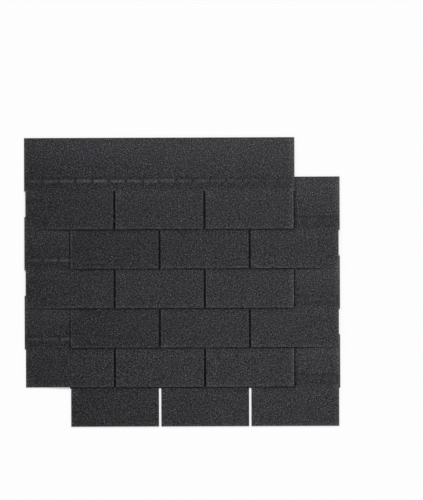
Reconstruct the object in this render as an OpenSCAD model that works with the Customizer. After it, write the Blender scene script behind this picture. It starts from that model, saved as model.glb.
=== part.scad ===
// Asphalt strip shingles lapped over each other in staggered courses, lying loose on a level floor.
// +X runs along the eaves, +Y up the slope and +Z out of the granule face.
// The origin is on the floor, under the middle of the lay-up.

/* [Shingle strip] */
// Length of a strip along the eaves
strip_length = 1000; // [600:1:1400]
// Height of a strip from its butt edge to its top edge
strip_height = 338; // [324:1:420]
// Thickness of the coated felt with its granules
strip_thickness = 3; // [2:0.1:6]
// Tabs along the butt edge of a strip
tab_count = 3; // [2:1:5]

/* [Slots] */
// Width of the slot between two tabs, of which each end of a strip has one half
slot_width = 8.5; // [5:0.5:20]
// Height of the slots above the butt edge
slot_height = 141; // [125:1:200]
// Radius of the corners at the closed end of a slot
slot_corner_radius = 1.5; // [0.5:0.1:2.4]

/* [Sealant dashes] */
// Length of a dash of self-seal bitumen
dash_length = 52; // [20:1:120]
// Width of a dash across the strip
dash_width = 12; // [8:0.5:24]
// Height that a dash stands above the granules
dash_height = 0.6; // [0.3:0.1:1.5]
// Gap between two dashes of the row
dash_gap = 10; // [4:0.5:40]
// Shortest bare length at each end of the row
dash_end_gap = 6; // [2:0.5:30]
// Distance from the closed ends of the slots to the middle of the row
dash_above_slots = 37; // [30:1:80]
// Radius of the corners of a dash
dash_corner_radius = 3; // [1:0.5:3.5]

/* [Lay-up] */
// Courses laid, the first of them flat on the floor
course_count = 6; // [2:1:10]
// Height of each course that the next one leaves bare
exposure = 146; // [110:1:160]
// Length of an overhanging end that has sagged flat
flat_end = 45; // [20:1:80]

/* [Hidden] */
// Facets across the part of an overhanging end that rises
rise_steps = 8;
// Segments of a full circle in the small corner arcs
arc_segments = 32;
// Margin by which a blank runs past the outline that trims it
trim = 5;

shingle_colour = "#373739";
sealant_colour = "#2a2a2c";

tab_width = strip_length / tab_count;
stagger = tab_width / 2;
lay_up_length = strip_length + stagger;
lay_up_depth = (course_count - 1) * exposure + strip_height;
// Each course rests on the dashes of the course below
course_rise = strip_thickness + dash_height;
dash_pitch = dash_length + dash_gap;
dash_count = floor((strip_length - 2 * dash_end_gap + dash_gap) / dash_pitch);
dash_row_length = dash_count * dash_pitch - dash_gap;
dash_row_y = slot_height + dash_above_slots;
tallest = course_count * course_rise + dash_height + trim;

function shingle_name(course) = str("shingle_course_", course);
function sealant_name(course) = str("sealant_dashes_", course);

// Lay-up positions of a course's butt edge and top edge
function butt_y(course) = (course - 1) * exposure;
function top_y(course) = butt_y(course) + strip_height;

// Underside of a sheet that lies level over the first courses and falls to the floor at its top edge
function falling_z(course, level, slope, y) =
    level == 0 ? 0 : min(level, (top_y(course) - y) * slope);

// Underside over the lapped courses
function lapped_z(course, y) =
    falling_z(course, (course - 1) * course_rise, course_rise / exposure, y);

// Underside at the overhanging end, where only every second course lies below and no dashes are covered
function sagged_z(course, y) =
    falling_z(course, floor((course - 1) / 2) * strip_thickness, strip_thickness / (2 * exposure), y);

// Share of the rise from the sagged end to the lapped part, at distance u from the free end
function rise(u) =
    let (share = min(1, max(0, (u - flat_end) / (stagger - flat_end))))
    share * share * (3 - 2 * share);

function underside_z(course, u, y) =
    let (sagged = sagged_z(course, y))
    sagged + (lapped_z(course, y) - sagged) * rise(u);

// Lines along which the sheet bends: across the rising end, and over the top edges of the lowest courses
function bend_us() = concat(
    [-trim],
    [for (step = [0:rise_steps]) flat_end + (stagger - flat_end) * step / rise_steps],
    [strip_length + trim]
);
function bend_ys(course) = concat(
    [butt_y(course) - trim],
    [for (y = [top_y(1), top_y(2)]) if (y > butt_y(course) && y < top_y(course)) y],
    [top_y(course)]
);

// A sheet as the course lies, from one height above its underside to another
module draped_blank(course, from_height, to_height) {
    us = bend_us();
    ys = bend_ys(course);
    columns = len(us);
    rows = len(ys);
    layer = columns * rows;
    points = [
        for (height = [from_height, to_height]) for (y = ys) for (u = us)
            [u, y, underside_z(course, u, y) + height]
    ];
    function at(column, row) = row * columns + column;
    cells = [for (row = [0:rows - 2]) for (column = [0:columns - 2]) [column, row]];
    under_faces = [
        for (cell = cells)
            let (a = at(cell.x, cell.y), b = at(cell.x + 1, cell.y))
            each [[a, b, b + columns], [a, b + columns, a + columns]]
    ];
    upper_faces = [for (face = under_faces) [face[2] + layer, face[1] + layer, face[0] + layer]];
    rim = concat(
        [for (column = [0:columns - 2]) at(column, 0)],
        [for (row = [0:rows - 2]) at(columns - 1, row)],
        [for (column = [columns - 1:-1:1]) at(column, rows - 1)],
        [for (row = [rows - 1:-1:1]) at(0, row)]
    );
    side_faces = [
        for (i = [0:len(rim) - 1])
            let (a = rim[i], b = rim[(i + 1) % len(rim)])
            [a, a + layer, b + layer, b]
    ];
    polyhedron(points, concat(under_faces, upper_faces, side_faces), convexity = 4);
}

module rounded_rectangle(size, radius) {
    translate([radius, 0]) square([size.x - 2 * radius, size.y]);
    translate([0, radius]) square([size.x, size.y - 2 * radius]);
    for (x = [radius, size.x - radius]) for (y = [radius, size.y - radius])
        translate([x, y]) circle(r = radius, $fn = arc_segments);
}

// Plan of a strip, with the slots between its tabs and half a slot at each end
module strip_outline() {
    difference() {
        square([strip_length, strip_height]);
        for (tab = [0:tab_count])
            translate([tab * tab_width - slot_width / 2, -slot_height])
                rounded_rectangle([slot_width, 2 * slot_height], slot_corner_radius);
    }
}

// Plan of the row of dashes on a strip
module dash_row_outline() {
    for (dash = [0:dash_count - 1])
        translate([(strip_length - dash_row_length) / 2 + dash * dash_pitch, dash_row_y - dash_width / 2])
            rounded_rectangle([dash_length, dash_width], dash_corner_radius);
}

// Cuts a plan outline out of a draped blank of the course
module cut_from_blank(course, from_height, to_height) {
    intersection() {
        draped_blank(course, from_height, to_height);
        translate([0, butt_y(course), -trim]) linear_extrude(height = tallest + trim) children();
    }
}

// Even courses overhang on the left, and odd ones, mirrored, on the right
module lay(course) {
    translate([0, -lay_up_depth / 2, 0])
        if (course % 2 == 1)
            mirror([1, 0, 0]) translate([-lay_up_length / 2, 0, 0]) children();
        else
            translate([-lay_up_length / 2, 0, 0]) children();
}

module shingle(course) {
    color(shingle_colour)
        lay(course) cut_from_blank(course, 0, strip_thickness) strip_outline();
}

module sealant_dashes(course) {
    color(sealant_colour)
        lay(course) cut_from_blank(course, strip_thickness, course_rise) dash_row_outline();
}

for (course = [1:course_count]) {
    shingle(course);
    sealant_dashes(course);
}
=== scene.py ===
import math
from typing import NamedTuple

import bmesh
import bpy
import numpy as np
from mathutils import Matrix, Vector
from mathutils.bvhtree import BVHTree


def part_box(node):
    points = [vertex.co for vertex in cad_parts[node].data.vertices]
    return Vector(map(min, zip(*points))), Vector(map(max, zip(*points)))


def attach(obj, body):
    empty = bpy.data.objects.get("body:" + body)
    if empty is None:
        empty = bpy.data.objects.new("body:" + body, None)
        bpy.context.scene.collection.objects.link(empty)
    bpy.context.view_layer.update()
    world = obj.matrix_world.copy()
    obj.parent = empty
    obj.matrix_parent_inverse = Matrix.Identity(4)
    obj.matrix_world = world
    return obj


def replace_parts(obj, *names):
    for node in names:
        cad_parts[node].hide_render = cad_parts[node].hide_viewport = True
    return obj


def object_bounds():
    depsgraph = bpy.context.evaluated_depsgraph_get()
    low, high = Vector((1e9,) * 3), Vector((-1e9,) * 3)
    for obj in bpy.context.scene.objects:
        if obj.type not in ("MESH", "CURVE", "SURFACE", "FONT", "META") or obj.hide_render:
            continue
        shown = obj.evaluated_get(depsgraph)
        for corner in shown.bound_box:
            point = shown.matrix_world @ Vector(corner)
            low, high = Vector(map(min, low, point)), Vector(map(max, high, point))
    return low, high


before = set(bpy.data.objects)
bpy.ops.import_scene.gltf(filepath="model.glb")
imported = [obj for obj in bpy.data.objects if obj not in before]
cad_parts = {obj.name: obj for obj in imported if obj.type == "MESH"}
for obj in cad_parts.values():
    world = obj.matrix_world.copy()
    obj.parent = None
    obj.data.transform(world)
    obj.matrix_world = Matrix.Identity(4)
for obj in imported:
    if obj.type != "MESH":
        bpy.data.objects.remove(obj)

cad_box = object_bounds()


def shingle(course):
    return f"shingle_course_{course}"


def dashes(course):
    return f"sealant_dashes_{course}"


# Sizes of a strip and its dashes, as their solids have them. All lengths are in metres.
TABS = 3
SLOT_WIDTH = 0.0085
SLOT_HEIGHT = 0.141
DASH_LENGTH = 0.052
DASH_WIDTH = 0.012
DASH_HEIGHT = 0.0006
DASH_PITCH = 0.062
DASH_CORNER = 0.003

# The strip's outline and the lapping, read from where the solids lie
COURSES = sum(name.startswith("shingle_course_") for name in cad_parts)
first_low, first_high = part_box(shingle(1))
row_low, row_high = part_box(dashes(1))
STRIP_LENGTH = first_high.x - first_low.x
STRIP_HEIGHT = first_high.y - first_low.y
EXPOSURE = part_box(shingle(2))[0].y - first_low.y
TAB_WIDTH = STRIP_LENGTH / TABS
STAGGER = TAB_WIDTH / 2
DASH_ROW_START = row_low.x - first_low.x
DASH_ROW_V = (row_low.y + row_high.y) / 2 - first_low.y

# Beads of bitumen: the height of their sides, the width and first share of their crown's two steps
BEAD_SIDE = 0.00035
BEAD_SHOULDER = 0.0015
BEAD_FIRST_RISE = 0.7
BEAD_CORNER_SEGMENTS = 4
BEAD_CUTS = 8
BEAD_CREASE = math.radians(40.0)
# Widths and lengths of single beads, as shares of a dash's
BEAD_WIDTHS = (0.88, 1.0)
BEAD_LENGTHS = (0.97, 1.0)
BEAD_SEED = 11

# Stone chips: how far apart, wide, proud and deep they are, and how far their middles stay from a cut edge
GRANULE_SPACING = 0.00222
GRANULE_RADIUS = 0.00175
GRANULE_HEIGHT = 0.0005
GRANULE_BEDDING = 0.0002
GRANULE_MARGIN = 0.0014
GRANULE_SEED = 7
# How uneven single chips are: shares of the radius and height, and in radians how far a corner may turn
CHIP_REACHES = (0.75, 1.25)
CHIP_HEIGHTS = (0.6, 1.3)
CHIP_TIP_SHIFT = 0.4
CHIP_CORNER_TURN = 0.4
# Shades of stone beside the mean grey, their median and spread on a face, and the sizes of their clumps
GRANULE_TONES = (0.07, 0.20, 0.48, 1.00, 2.00, 4.00, 7.00)
GRANULE_MEDIAN = 0.72
GRANULE_SPREAD = 1.20
FINEST_GRAIN = 0.0045
BROADEST_GRAIN = 0.016
# Share of the lightest stones on the tabs and in the headlap, and the heights between which it rises
LIGHT_STONE_SHARES = (0.00032, 0.00112)
LIGHT_STONE_RISE = (0.15, 0.25)

# Linear colours of the mineral granules, the bitumen and the dusted back
GRANULE_GREY = (0.0318, 0.0318, 0.0344)
WARM_GRANULE = (0.0329, 0.0322, 0.0328)
COOL_GRANULE = (0.0307, 0.0314, 0.0360)
VIOLET_GRANULE = (0.0328, 0.0312, 0.0376)
BITUMEN = (0.012, 0.012, 0.0125)
SEALANT_GREY = (0.0215, 0.0215, 0.0235)
BACK_DUST = (0.075, 0.072, 0.068)

# Scales of the patterns in the finishes, in grains to a metre
BEDDED_GRANULES = 560.0
GRANULE_CLUMPS = 230.0
FACE_PATCHES = 22.0
BITUMEN_GRIT = 900.0
SEALANT_GRIT = 420.0
SEALANT_SMEARS = 140.0
# Tones that each pattern ranges between, beside the colour it lies on
GRANULE_RANGE = (0.60, 1.40)
CLUMP_RANGE = (-0.6, 2.6)
PATCH_RANGE = (0.94, 1.06)
EDGE_RANGE = (0.6, 1.4)
BACK_RANGE = (0.7, 1.3)
SEALANT_GRIT_RANGE = (0.20, 2.0)
SMEAR_TONE = 0.2
# Heights of the finer relief beside the domes of granules and lumps of grit, and how rough the surfaces are
GRANULE_STEP = 0.3
SMEAR_HEIGHT = 0.5
STONE_ROUGHNESS = (0.72, 0.92)
SEALANT_ROUGHNESS = (0.5, 0.7)
# Upward part of a normal over which bitumen on the cut edge gives way to the face, and downward to the back
FACE_TURN = (0.3, 0.6)


class Wire:
    """One output of a shader node. Arithmetic on wires adds Math nodes to the same finish."""

    def __init__(self, finish, socket):
        self.finish = finish
        self.socket = socket

    def math(self, operation, first, second):
        return self.finish.node("Math", {"operation": operation}, {0: first, 1: second})

    def __add__(self, other):
        return self.math("ADD", self, other)

    def __radd__(self, other):
        return self.math("ADD", other, self)

    def __sub__(self, other):
        return self.math("SUBTRACT", self, other)

    def __rsub__(self, other):
        return self.math("SUBTRACT", other, self)

    def __mul__(self, other):
        return self.math("MULTIPLY", self, other)

    def __rmul__(self, other):
        return self.math("MULTIPLY", other, self)

    def __pow__(self, other):
        return self.math("POWER", self, other)


class Finish:
    """A material that is being built from nodes."""

    def __init__(self, name):
        self.material = bpy.data.materials.new(name)
        self.material.use_nodes = True
        self.tree = self.material.node_tree
        self.tree.nodes.clear()

    def node(self, kind, settings=None, sockets=None, output=0):
        """Adds a node, sets it up, feeds its sockets with numbers or wires, and returns an output."""
        node = self.tree.nodes.new("ShaderNode" + kind)
        for name, value in (settings or {}).items():
            setattr(node, name, value)
        for name, value in (sockets or {}).items():
            if isinstance(value, Wire):
                self.tree.links.new(value.socket, node.inputs[name])
            else:
                node.inputs[name].default_value = value
        return Wire(self, node.outputs[output]) if node.outputs else None

    def noise(self, place, scale, detail, roughness=0.5):
        sockets = {"Vector": place, "Scale": scale, "Detail": detail, "Roughness": roughness}
        return self.node("TexNoise", None, sockets)

    def mix_colours(self, share, low, high):
        sockets = {"Factor": share, 6: opaque(low), 7: opaque(high)}
        return self.node("Mix", {"data_type": "RGBA"}, sockets, output=2)

    def scaled_colour(self, colour, by):
        """A colour times a wire."""
        return self.node("VectorMath", {"operation": "SCALE"}, {0: colour, "Scale": by})

    def surface(self, shader):
        self.node("OutputMaterial", None, {"Surface": shader})
        return self.material


def opaque(colour):
    return colour if isinstance(colour, Wire) else (*colour, 1.0)


# The functions of tone take wires or arrays, so that the sheets and the loose granules agree
def soft_step(value, low, high):
    """Rises from 0 at low to 1 at high."""
    if isinstance(value, Wire):
        limits = {"Value": value, "From Min": low, "From Max": high}
        return value.finish.node("MapRange", {"interpolation_type": "SMOOTHSTEP"}, limits)
    share = np.clip((value - low) / (high - low), 0.0, 1.0)
    return share * share * (3.0 - 2.0 * share)


def fade(value, low, high):
    """Falls from 1 at low to 0 at high."""
    return 1.0 - soft_step(value, low, high)


def between(low, high, share):
    return low + (high - low) * share


def distance_to_rows(value, pitch):
    """Distance to the nearest whole multiple of pitch."""
    if isinstance(value, Wire):
        return value.math("PINGPONG", value, pitch / 2)
    return np.abs((value + pitch / 2) % pitch - pitch / 2)


def distance_past_rows(value, pitch):
    """Distance past the last whole multiple of pitch."""
    if isinstance(value, Wire):
        return value.math("FLOORED_MODULO", value, pitch)
    return value % pitch


class Rim(NamedTuple):
    """A zone along an edge: its change of tone, and how far from the edge it starts to fade and is gone."""

    change: float
    fades: float
    ends: float

    def share(self, distance):
        return fade(distance, self.fades, self.ends)

    def at(self, distance):
        return self.change * self.share(distance)


class Band(NamedTuple):
    """A zone between two places: its change of tone, and how wide the blur at each side is."""

    change: float
    low: float
    high: float
    blur: float

    def at(self, place):
        half = self.blur / 2
        entered = soft_step(place, self.low - half, self.low + half)
        left = soft_step(place, self.high - half, self.high + half)
        return self.change * (entered - left)


# Painted light along a strip, which is darkest at its left end
LEFT_TONE = 0.72
TONE_RISE = 0.80
TONE_BEND = 0.37
# Painted highlights along the rims of the strip and its tabs, lighter than the rest
BUTT_RIM_HIGHLIGHT = Rim(change=0.28, fades=0.003, ends=0.013)
SLOT_RIM_HIGHLIGHT = Rim(change=0.22, fades=0.002, ends=0.006)
SLOT_TOP_FADE = 0.004
LEFT_RIM_HIGHLIGHT = Rim(change=0.45, fades=0.0, ends=0.011)
RIGHT_END = Rim(change=0.36, fades=0.008, ends=0.028)
RIGHT_RIM_HIGHLIGHT = Rim(change=0.25, fades=0.004, ends=0.010)
# Painted highlights on the corners at the top and foot of each tab's left side, and how far along the tab
# they reach
CORNER_TOP_HIGHLIGHT = Band(change=0.20, low=0.112, high=SLOT_HEIGHT + 0.004, blur=0.020)
CORNER_FOOT_HIGHLIGHT = Rim(change=0.14, fades=0.025, ends=0.045)
CORNER_REACH = (0.020, 0.040)
# Bands up the strip: the tops of the tabs, and below and above the middle of the dash row
TAB_TOPS = Band(change=0.08, low=0.110, high=SLOT_HEIGHT + 0.004, blur=0.030)
BELOW_DASH_ROW = Band(change=-0.12, low=0.152, high=DASH_ROW_V, blur=0.006)
ABOVE_DASH_ROW = Band(change=-0.18, low=DASH_ROW_V, high=DASH_ROW_V + 0.016, blur=0.006)
# Headlap: lighter from its foot, and worn towards its top, more at the left than at the right
HEADLAP_CHANGE = 0.05
HEADLAP_FOOT = (0.195, 0.203)
WORN_TOP_CHANGES = (0.40, 0.28)
WORN_TOP_TURN = (0.20, 0.50)
WORN_TOP_START = 0.205
# Violet stone: its greatest share and where that is along the strip, and where it sets in and falls off up it
VIOLET_ALONG = Band(change=0.40, low=0.10, high=0.42, blur=0.12)
VIOLET_FOOT = (0.12, 0.20)
VIOLET_FALL = 0.6
VIOLET_FALL_START = 0.25
# Painted shade on a strip by the butt of the course above and further below it, by that course's right and
# left end and in its slots, and how sharp those edges are
BUTT_CONTACT_SHADE = Rim(change=-0.44, fades=0.002, ends=0.009)
BUTT_SHADE = Rim(change=-0.10, fades=0.016, ends=0.030)
RIGHT_END_SHADE = Rim(change=-0.32, fades=0.002, ends=0.013)
LEFT_END_SHADE = Rim(change=-0.18, fades=0.002, ends=0.007)
SLOT_SHADE = Rim(change=-0.56, fades=0.0, ends=0.002)
EDGE_BLUR = 0.002


def strip_tone(u, v):
    """How light the granules are at a place on a strip, with painted light along it and painted highlights at
    its rims and corners: u along it from its left end, v up from its butt.
    """
    from_slot = distance_to_rows(u, TAB_WIDTH) - SLOT_WIDTH / 2
    slot_highlight = SLOT_RIM_HIGHLIGHT.at(from_slot) * fade(v, SLOT_HEIGHT, SLOT_HEIGHT + SLOT_TOP_FADE)
    corner = fade(distance_past_rows(u, TAB_WIDTH) - SLOT_WIDTH / 2, *CORNER_REACH)
    worn_top = between(*WORN_TOP_CHANGES, soft_step(u, *WORN_TOP_TURN))
    worn_top = worn_top * soft_step(v, WORN_TOP_START, STRIP_HEIGHT)
    # Painted light, darkest at the left end of the strip
    tone = LEFT_TONE + u * (TONE_RISE - TONE_BEND * u)
    # Painted highlights at the butt, the slots, the ends and the tab corners
    tone = tone * (1.0 + between(slot_highlight, BUTT_RIM_HIGHLIGHT.change, BUTT_RIM_HIGHLIGHT.share(v)))
    tone = tone * (1.0 + LEFT_RIM_HIGHLIGHT.at(u - SLOT_WIDTH / 2))
    tone = tone * (1.0 + (CORNER_TOP_HIGHLIGHT.at(v) + CORNER_FOOT_HIGHLIGHT.at(v)) * corner)
    tone = tone * (1.0 + RIGHT_END.at(STRIP_LENGTH - u))
    tone = tone * (1.0 + RIGHT_RIM_HIGHLIGHT.at(STRIP_LENGTH - u))
    tone = tone * (1.0 + TAB_TOPS.at(v))
    tone = tone * (1.0 + HEADLAP_CHANGE * soft_step(v, *HEADLAP_FOOT) + worn_top)
    tone = tone * (1.0 + BELOW_DASH_ROW.at(v))
    return tone * (1.0 + ABOVE_DASH_ROW.at(v))


def violet_share(u, v):
    """Share of violet stone, which is greatest in the left half of the headlap and falls off to its top."""
    up = soft_step(v, *VIOLET_FOOT) - VIOLET_FALL * soft_step(v, VIOLET_FALL_START, STRIP_HEIGHT)
    return VIOLET_ALONG.at(u) * up


def lap_shade(course, u, v):
    """Painted shade left on a strip's tone beside the edges of the course laid over it, and in its slots."""
    if course == COURSES:
        return 1.0
    overhangs_right = course % 2 == 1
    past_end = u - (STRIP_LENGTH - STAGGER) if overhangs_right else STAGGER - u
    end_shade = RIGHT_END_SHADE if overhangs_right else LEFT_END_SHADE
    from_slot = distance_to_rows(u - STAGGER, TAB_WIDTH) - SLOT_WIDTH / 2
    lapped = fade(past_end, -EDGE_BLUR / 2, EDGE_BLUR / 2)
    above_butt = soft_step(v, EXPOSURE - EDGE_BLUR / 2, EXPOSURE + EDGE_BLUR / 2)
    above_slot = soft_step(v, EXPOSURE + SLOT_HEIGHT - EDGE_BLUR / 2, EXPOSURE + SLOT_HEIGHT + EDGE_BLUR / 2)
    # Painted shade under the butt, beside the end and in the slots of the course above
    below_butt = BUTT_CONTACT_SHADE.at(EXPOSURE - v) * lapped
    further_below = BUTT_SHADE.at(EXPOSURE - v) * lapped
    beside_end = end_shade.at(past_end) * above_butt
    in_slot = SLOT_SHADE.at(from_slot) * (above_butt - above_slot) * lapped
    return (1.0 + below_butt) * (1.0 + further_below) * (1.0 + beside_end) * (1.0 + in_slot)


def strip_place(course):
    """Left end and butt of a course's strip."""
    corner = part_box(shingle(course))[0]
    return corner.x, corner.y


def strip_wires(finish, course):
    """A finish's place on its piece, and on a course's strip the u and v of that place."""
    left, butt = strip_place(course)
    place = finish.node("TexCoord", output="Object")
    u = finish.node("SeparateXYZ", None, {0: place}, output="X") - left
    v = finish.node("SeparateXYZ", None, {0: place}, output="Y") - butt
    return place, u, v


def shingle_finish(course):
    """Granules bedded in bitumen on the face, bare bitumen on the cut edges, and a dusted back."""
    finish = Finish(f"granule_face_{course}")
    place, u, v = strip_wires(finish, course)
    facing = finish.node("SeparateXYZ", None, {0: finish.node("TexCoord", output="Normal")}, output="Z")
    granules = {"Vector": place, "Scale": BEDDED_GRANULES, "Randomness": 1.0}
    granule_random = finish.node("TexVoronoi", None, granules, output="Color")
    granule_domes = 1.0 - finish.node("TexVoronoi", None, granules, output="Distance")
    granule_share = finish.node("SeparateColor", None, {0: granule_random}, output=0)
    hue_share = finish.node("SeparateColor", None, {0: granule_random}, output=1)
    patches = finish.noise(place, FACE_PATCHES, detail=3.0, roughness=0.6)
    clumps = finish.noise(place, GRANULE_CLUMPS, detail=1.0)
    grit = finish.noise(place, BITUMEN_GRIT, detail=2.0)
    granule_tone = between(*GRANULE_RANGE, granule_share) * between(*CLUMP_RANGE, clumps)
    granule_tone = granule_tone * between(*PATCH_RANGE, patches)
    mineral = finish.mix_colours(hue_share, WARM_GRANULE, COOL_GRANULE)
    mineral = finish.mix_colours(violet_share(u, v), mineral, VIOLET_GRANULE)
    # The face's colour carries the painted light and highlights along the strip and the painted shade of the
    # course above
    face = finish.scaled_colour(mineral, strip_tone(u, v) * lap_shade(course, u, v) * granule_tone)
    edge = finish.scaled_colour(BITUMEN, between(*EDGE_RANGE, grit))
    back = finish.scaled_colour(BACK_DUST, between(*BACK_RANGE, grit))
    colour = finish.mix_colours(soft_step(facing, *FACE_TURN), edge, face)
    colour = finish.mix_colours(soft_step(-1.0 * facing, *FACE_TURN), colour, back)
    relief = {"Strength": 0.4, "Distance": 0.0008, "Height": granule_domes + GRANULE_STEP * granule_share}
    stone = {
        "Base Color": colour,
        "Roughness": between(*STONE_ROUGHNESS, hue_share),
        "Specular IOR Level": 0.05,
        "Normal": finish.node("Bump", None, relief),
    }
    return finish.surface(finish.node("BsdfPrincipled", None, stone))


# Painted sheen on the dashes: their tone without it and under it, and where along the strip it starts and
# ends
SHEEN_TONES = (1.15, 2.27)
SHEEN_START = (0.06, 0.22)
SHEEN_END = (0.32, 0.92)
SHEEN_FALL = 0.84


def sealant_finish(course):
    """Satin bitumen with grit in it, with a painted sheen that is brightest left of the strip's middle."""
    finish = Finish(f"self_seal_bitumen_{course}")
    place, u, v = strip_wires(finish, course)
    grains = {"Vector": place, "Scale": SEALANT_GRIT, "Randomness": 1.0}
    grit = finish.node("SeparateColor", None, {0: finish.node("TexVoronoi", None, grains, output="Color")})
    lumps = 1.0 - finish.node("TexVoronoi", None, grains, output="Distance")
    smears = finish.noise(place, SEALANT_SMEARS, detail=4.0, roughness=0.6)
    # Painted sheen, lightest left of the strip's middle
    sheen = soft_step(u, *SHEEN_START) - SHEEN_FALL * soft_step(u, *SHEEN_END)
    gritty = between(*SEALANT_GRIT_RANGE, grit * grit) + SMEAR_TONE * smears
    # The painted shade of the course above is applied twice, so that dashes in its slots go dark
    tone = between(*SHEEN_TONES, sheen) * gritty * lap_shade(course, u, v) ** 2
    relief = {"Strength": 0.5, "Distance": 0.0005, "Height": lumps + SMEAR_HEIGHT * smears}
    bitumen = {
        "Base Color": finish.scaled_colour(SEALANT_GREY, tone),
        "Roughness": between(*SEALANT_ROUGHNESS, smears),
        "Specular IOR Level": 0.25,
        "Normal": finish.node("Bump", None, relief),
    }
    return finish.surface(finish.node("BsdfPrincipled", None, bitumen))


def granule_finish(name, mineral, tone):
    """One colour of crushed stone. A granule is a single chip of it, so its colour is the same all over."""
    finish = Finish(name)
    colour = tuple(channel * tone for channel in mineral)
    stone = {"Base Color": opaque(colour), "Roughness": 0.85, "Specular IOR Level": 0.05}
    return finish.surface(finish.node("BsdfPrincipled", None, stone))


def granule_finishes():
    """Every shade of the grey stone, then every shade of the violet one."""
    return [
        granule_finish(f"{hue}_granule_{step}", colour, tone)
        for hue, colour in (("grey", GRANULE_GREY), ("violet", VIOLET_GRANULE))
        for step, tone in enumerate(GRANULE_TONES, start=1)
    ]


def dress(piece, *materials):
    piece.data.materials.clear()
    for material in materials:
        piece.data.materials.append(material)


def sheet_face(course):
    """A function that gives the point of a course's granule face at x and y, or none beside the sheet."""
    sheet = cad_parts[shingle(course)].data
    tree = BVHTree.FromPolygons([v.co for v in sheet.vertices], [p.vertices for p in sheet.polygons])
    above = 2.0 * cad_box[1].z
    return lambda x, y: tree.ray_cast((x, y, above), (0.0, 0.0, -1.0))[0]


def on_strip(u, v, margin=0.0):
    """Whether a place is on a strip, at least the margin away from its cut edges."""
    inside_ends = (u > margin) & (u < STRIP_LENGTH - margin)
    inside_edges = (v > margin) & (v < STRIP_HEIGHT - margin)
    by_slot = (distance_to_rows(u, TAB_WIDTH) < SLOT_WIDTH / 2 + margin) & (v < SLOT_HEIGHT + margin)
    return inside_ends & inside_edges & ~by_slot


def on_dash(u, v):
    along_row = (u - DASH_ROW_START) % DASH_PITCH < DASH_LENGTH
    on_row = (u > DASH_ROW_START) & (u < STRIP_LENGTH - DASH_ROW_START)
    return along_row & on_row & (np.abs(v - DASH_ROW_V) < DASH_WIDTH / 2)


def even_grain(shape, chance):
    """Random numbers for a grid of granules that lie in small clumps but make no broad patches."""
    waves = np.hypot(np.fft.fftfreq(shape[0])[:, None], np.fft.fftfreq(shape[1])) / GRANULE_SPACING
    kept = np.exp(-((waves * FINEST_GRAIN) ** 2)) - np.exp(-((waves * BROADEST_GRAIN) ** 2))
    grain = np.fft.ifft2(np.fft.fft2(chance.normal(size=shape)) * kept).real
    return grain / grain.std()


def granule_sites(chance):
    """Sites for granules all over the lay-up, each with its x, its y and how light the grain makes it."""
    low, high = cad_box
    across = np.arange(low.x, high.x, GRANULE_SPACING)
    up = np.arange(low.y, high.y, GRANULE_SPACING)
    columns, rows = np.meshgrid(across, up)
    sites = np.stack([columns, rows, even_grain(rows.shape, chance)], axis=-1).reshape(-1, 3)
    sites[:, :2] += chance.uniform(-0.5, 0.5, (len(sites), 2)) * GRANULE_SPACING
    return sites


def granule_shades(course, u, v, grain, chance):
    """Which of the granule finishes the chips at some places on a course take."""
    # Chips take the same painted light, highlights and shade as the sheet's face
    tone = strip_tone(u, v) * lap_shade(course, u, v) * GRANULE_MEDIAN * np.exp(GRANULE_SPREAD * grain)
    light_share = between(*LIGHT_STONE_SHARES, soft_step(v, *LIGHT_STONE_RISE))
    tone[chance.random(len(tone)) < light_share] = GRANULE_TONES[-1]
    shade = np.abs(np.log(tone[:, None]) - np.log(GRANULE_TONES)).argmin(axis=1)
    violet = chance.random(len(shade)) < violet_share(u, v)
    return shade + len(GRANULE_TONES) * violet


def granule_chips(name, places, shades, finishes, chance):
    """One mesh of stone chips, each with three corners bedded in the sheet and a tip above them."""
    count = len(places)
    turn = chance.uniform(0.0, 2.0 * np.pi, (count, 1)) + np.arange(3) * 2.0 * np.pi / 3.0
    turn += chance.uniform(-CHIP_CORNER_TURN, CHIP_CORNER_TURN, (count, 3))
    reach = GRANULE_RADIUS * chance.uniform(*CHIP_REACHES, (count, 3))
    chips = np.zeros((count, 4, 3))
    corners = chips[:, :3]
    corners[:, :, 0] = reach * np.cos(turn)
    corners[:, :, 1] = reach * np.sin(turn)
    corners[:, :, 2] = -GRANULE_BEDDING
    tips = chips[:, 3]
    tips[:, :2] = GRANULE_RADIUS * chance.uniform(-CHIP_TIP_SHIFT, CHIP_TIP_SHIFT, (count, 2))
    tips[:, 2] = GRANULE_HEIGHT * chance.uniform(*CHIP_HEIGHTS, count)
    chips += places[:, None, :]
    sides = np.array([(0, 2, 1), (0, 1, 3), (1, 2, 3), (2, 0, 3)])
    faces = (np.arange(count)[:, None, None] * chips.shape[1] + sides).reshape(-1, 3)
    mesh = bpy.data.meshes.new(name)
    mesh.from_pydata(chips.reshape(-1, 3), [], faces)
    piece = bpy.data.objects.new(name, mesh)
    bpy.context.scene.collection.objects.link(piece)
    dress(piece, *finishes)
    mesh.polygons.foreach_set("material_index", np.repeat(shades, len(sides)))
    return piece


def spread_granules(finishes):
    """Stone chips over every face that shows, as dark or light as the sheet is there."""
    chance = np.random.default_rng(GRANULE_SEED)
    sites = granule_sites(chance)
    for course in range(COURSES, 0, -1):
        u, v = sites[:, :2].T - np.array(strip_place(course))[:, None]
        covered = on_strip(u, v)
        bare = on_strip(u, v, GRANULE_MARGIN) & ~on_dash(u, v)
        face_at = sheet_face(course)
        hits = [face_at(x, y) for x, y in sites[bare, :2]]
        found = np.flatnonzero(bare)[[hit is not None for hit in hits]]
        places = np.array([hit for hit in hits if hit is not None])
        u, v, grain = u[found], v[found], sites[found, 2]
        shades = granule_shades(course, u, v, grain, chance)
        sites = sites[~covered]
        for part, chosen in (("tabs", v < SLOT_HEIGHT), ("head", v >= SLOT_HEIGHT)):
            name = f"granules_{part}_{course}"
            piece = granule_chips(name, places[chosen], shades[chosen], finishes, chance)
            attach(piece, "root")


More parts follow.
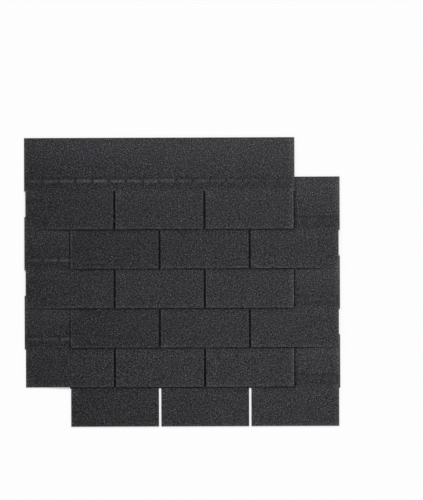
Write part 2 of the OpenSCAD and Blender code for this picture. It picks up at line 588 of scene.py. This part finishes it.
def select_edges(piece, wanted):
    """In edit mode, selects the edges whose two ends pass a test."""
    mesh = bmesh.from_edit_mesh(piece.data)
    bpy.ops.mesh.select_mode(type="EDGE")
    for edge in mesh.edges:
        edge.select = wanted(*(vertex.co for vertex in edge.verts))
    bmesh.update_edit_mesh(piece.data)


def model_bead():
    """One dash of bitumen on a flat ground, crowned, with round corners, and cut across so that it bends."""
    crown = DASH_HEIGHT - BEAD_SIDE
    bpy.ops.object.select_all(action="DESELECT")
    bpy.ops.mesh.primitive_cube_add(size=1.0, location=(DASH_LENGTH / 2, 0.0, BEAD_SIDE / 2))
    bead = bpy.context.object
    bead.scale = (DASH_LENGTH, DASH_WIDTH, BEAD_SIDE)
    bpy.ops.object.transform_apply(location=True, rotation=False, scale=True)
    bpy.ops.object.mode_set(mode="EDIT")
    select_edges(bead, lambda a, b: abs(a.z - b.z) > BEAD_SIDE / 2)
    bpy.ops.mesh.bevel(offset=DASH_CORNER, segments=BEAD_CORNER_SEGMENTS, affect="EDGES")
    select_edges(bead, lambda a, b: min(a.z, b.z) > BEAD_SIDE / 2)
    bpy.ops.mesh.select_mode(type="FACE")
    bpy.ops.mesh.inset(thickness=BEAD_SHOULDER, depth=crown * BEAD_FIRST_RISE)
    bpy.ops.mesh.inset(thickness=BEAD_SHOULDER, depth=crown * (1.0 - BEAD_FIRST_RISE))
    for cut in range(1, BEAD_CUTS):
        bpy.ops.mesh.select_all(action="SELECT")
        bpy.ops.mesh.bisect(plane_co=(DASH_LENGTH * cut / BEAD_CUTS, 0.0, 0.0), plane_no=(1.0, 0.0, 0.0))
    bpy.ops.object.mode_set(mode="OBJECT")
    bpy.ops.object.shade_smooth_by_angle(angle=BEAD_CREASE)
    return bead


def lay_beads(bead, course, chance):
    """A row of beads on a course, each bent to the sheet under it."""
    low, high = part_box(dashes(course))
    face_at = sheet_face(course)
    row = []
    for place in np.arange(low.x, high.x, DASH_PITCH):
        copy = bpy.data.objects.new("bead", bead.data.copy())
        bpy.context.scene.collection.objects.link(copy)
        wide = chance.uniform(*BEAD_WIDTHS)
        long = chance.uniform(*BEAD_LENGTHS)
        spare = (1.0 - long) * DASH_LENGTH
        start = place + spare * (0.5 + chance.uniform(-0.5, 0.5))
        for vertex in copy.data.vertices:
            x = start + long * vertex.co.x
            y = (low.y + high.y) / 2 + wide * vertex.co.y
            vertex.co = (x, y, vertex.co.z + face_at(x, y).z)
        row.append(copy)
    bpy.ops.object.select_all(action="DESELECT")
    for copy in row:
        copy.select_set(True)
    bpy.context.view_layer.objects.active = row[0]
    bpy.ops.object.join()
    beads = bpy.context.object
    beads.name = f"sealant_beads_{course}"
    dress(beads, sealant_finish(course))
    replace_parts(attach(beads, "root"), dashes(course))


# Studio: how white the floor is and the share of that white that no shadow takes, the sky and one lamp
FLOOR_SIZE = 30.0
PAPER_WHITE = (0.915, 0.915, 0.915)
PAPER_GLOW = 0.25
SKY_STRENGTH = 0.55
LAMP_DIRECTION = (0.1, 0.9, 1.0)
LAMP_SOFTNESS = math.radians(20.0)
LAMP_STRENGTH = 2.2
WHITE = (1.0, 1.0, 1.0, 1.0)


def floor_finish():
    """White paper that stays white in the picture and still takes the shadows."""
    finish = Finish("studio_floor")
    seen = finish.node("LightPath", output="Is Camera Ray")
    seen = seen + finish.node("LightPath", output="Is Glossy Ray")
    seen = seen + finish.node("LightPath", output="Is Transmission Ray")
    paper = finish.node("BsdfDiffuse", None, {"Color": opaque(PAPER_WHITE)})
    white = finish.node("Emission", None, {"Color": WHITE, "Strength": 1.0})
    return finish.surface(finish.node("MixShader", None, {0: PAPER_GLOW * seen, 1: paper, 2: white}))


def lay_floor():
    bpy.ops.object.select_all(action="DESELECT")
    bpy.ops.mesh.primitive_plane_add(size=FLOOR_SIZE, location=(0.0, 0.0, 0.0))
    floor = bpy.context.object
    floor.name = "studio_floor"
    dress(floor, floor_finish())


def light_studio():
    """An even sky, and a lamp so far off that it lights every course alike, as soft as a wide screen."""
    sky = bpy.data.worlds.new("studio_sky")
    sky.use_nodes = True
    sky.node_tree.nodes["Background"].inputs["Color"].default_value = WHITE
    sky.node_tree.nodes["Background"].inputs["Strength"].default_value = SKY_STRENGTH
    bpy.context.scene.world = sky
    lamp = bpy.data.lights.new("key_lamp", "SUN")
    lamp.angle = LAMP_SOFTNESS
    lamp.energy = LAMP_STRENGTH
    holder = bpy.data.objects.new("key_lamp", lamp)
    holder.rotation_euler = Vector(LAMP_DIRECTION).to_track_quat("Z", "Y").to_euler()
    bpy.context.scene.collection.objects.link(holder)


# Camera straight above, from places in the photo's frame and the size of its pixels on the ground
FRAME_HEIGHT_PX = 500
FRAME_CENTRE_PX = (211.5, 250.0)
LAY_UP_CENTRE_PX = (182.1, 281.8)
PIXEL = 0.00370
CAMERA_HEIGHT = 9.0
CAMERA_ROLL = math.radians(-0.22)


def place_camera():
    lens = bpy.data.cameras.new("camera")
    lens.lens = lens.sensor_width * CAMERA_HEIGHT / (FRAME_HEIGHT_PX * PIXEL)
    camera = bpy.data.objects.new("camera", lens)
    camera.location.x = (FRAME_CENTRE_PX[0] - LAY_UP_CENTRE_PX[0]) * PIXEL
    camera.location.y = (LAY_UP_CENTRE_PX[1] - FRAME_CENTRE_PX[1]) * PIXEL
    camera.location.z = CAMERA_HEIGHT
    camera.rotation_euler.z = CAMERA_ROLL
    bpy.context.scene.collection.objects.link(camera)
    bpy.context.scene.camera = camera


for course in range(1, COURSES + 1):
    dress(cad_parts[shingle(course)], shingle_finish(course))
spread_granules(granule_finishes())

flat_bead = model_bead()
bead_chance = np.random.default_rng(BEAD_SEED)
for course in range(1, COURSES + 1):
    lay_beads(flat_bead, course, bead_chance)
bpy.data.objects.remove(flat_bead)

lay_floor()
light_studio()
place_camera()
bpy.context.scene.view_settings.view_transform = "Standard"
